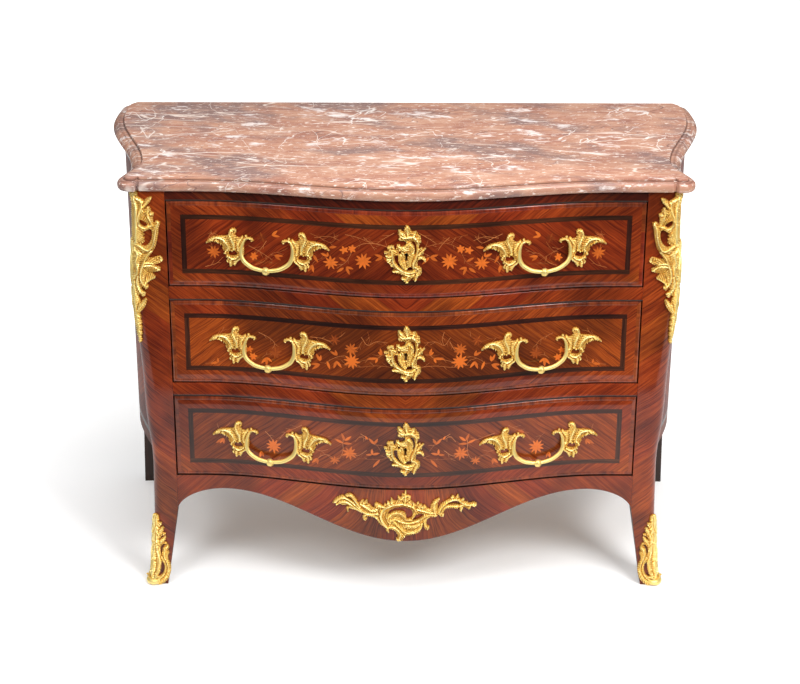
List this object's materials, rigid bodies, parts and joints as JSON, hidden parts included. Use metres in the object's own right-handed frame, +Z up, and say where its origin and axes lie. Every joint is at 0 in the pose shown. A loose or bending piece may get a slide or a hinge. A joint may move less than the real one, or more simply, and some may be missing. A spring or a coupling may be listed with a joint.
{
  "type": "commode chest",
  "caption": "Serpentine commode chest with sliding drawers that lock, a moulded marble top, cabriole legs, inlaid fronts and gilt leaf mounts.",
  "frame": {"origin": "on the floor, at the middle of the commode's width and depth", "axes": "+X to the right when facing the front, -Y out of the front where the drawers open, +Z up"},
  "size_m": [1.178, 0.5128, 0.87],
  "materials": {
    "marble": "polished red marble with white veins",
    "veneer": "french polished kingwood and rosewood veneer with floral inlay",
    "oak": "planed, waxed oak",
    "dark_wood": "dark stained and polished",
    "gilt": "cast, chased and gilded",
    "steel": "filed and oiled"
  },
  "bodies": {
    "case": {"marble_top": "marble", "front_leg_right": "veneer", "front_leg_left": "veneer", "rear_leg_right": "dark_wood", "rear_leg_left": "dark_wood", "side_panel_right": "veneer", "side_panel_left": "veneer", "back_panel": "oak", "top_board": "oak", "front_rail_top": "veneer", "front_rail_upper": "veneer", "dust_board_upper": "oak", "front_rail_lower": "veneer", "dust_board_lower": "oak", "bottom_board": "oak", "apron": "veneer", "guide_top_right": "oak", "guide_top_left": "oak", "guide_middle_right": "oak", "guide_middle_left": "oak", "guide_bottom_right": "oak", "guide_bottom_left": "oak", "drawer_stop_top": "oak", "drawer_stop_middle": "oak", "drawer_stop_bottom": "oak", "apron_mount": "gilt", "corner_mount_right": "gilt", "corner_mount_left": "gilt", "sabot_right": "gilt", "sabot_left": "gilt"},
    "drawer_top": {"drawer_top_front": "veneer", "drawer_top_side_right": "oak", "drawer_top_side_left": "oak", "drawer_top_back": "oak", "drawer_top_bottom": "oak", "escutcheon_top": "gilt", "handle_top_right": "gilt", "handle_top_left": "gilt", "lock_case_top": "steel"},
    "drawer_middle": {"drawer_middle_front": "veneer", "drawer_middle_side_right": "oak", "drawer_middle_side_left": "oak", "drawer_middle_back": "oak", "drawer_middle_bottom": "oak", "escutcheon_middle": "gilt", "handle_middle_right": "gilt", "handle_middle_left": "gilt", "lock_case_middle": "steel"},
    "drawer_bottom": {"drawer_bottom_front": "veneer", "drawer_bottom_side_right": "oak", "drawer_bottom_side_left": "oak", "drawer_bottom_back": "oak", "drawer_bottom_bottom": "oak", "escutcheon_bottom": "gilt", "handle_bottom_right": "gilt", "handle_bottom_left": "gilt", "lock_case_bottom": "steel"},
    "bolt_top": {"lock_bolt_top": "steel"},
    "bolt_middle": {"lock_bolt_middle": "steel"},
    "bolt_bottom": {"lock_bolt_bottom": "steel"}
  },
  "joints": [
    {"name": "drawer_top_slide", "type": "slide", "parent": "case", "child": "drawer_top", "axis": [0, -1, 0], "range_m": [0, 0.32]},
    {"name": "drawer_middle_slide", "type": "slide", "parent": "case", "child": "drawer_middle", "axis": [0, -1, 0], "range_m": [0, 0.32]},
    {"name": "drawer_bottom_slide", "type": "slide", "parent": "case", "child": "drawer_bottom", "axis": [0, -1, 0], "range_m": [0, 0.32]},
    {"name": "bolt_top_throw", "type": "slide", "parent": "drawer_top", "child": "bolt_top", "axis": [0, 0, 1], "range_m": [0, 0.01]},
    {"name": "bolt_middle_throw", "type": "slide", "parent": "drawer_middle", "child": "bolt_middle", "axis": [0, 0, 1], "range_m": [0, 0.01]},
    {"name": "bolt_bottom_throw", "type": "slide", "parent": "drawer_bottom", "child": "bolt_bottom", "axis": [0, 0, 1], "range_m": [0, 0.01]}
  ]
}
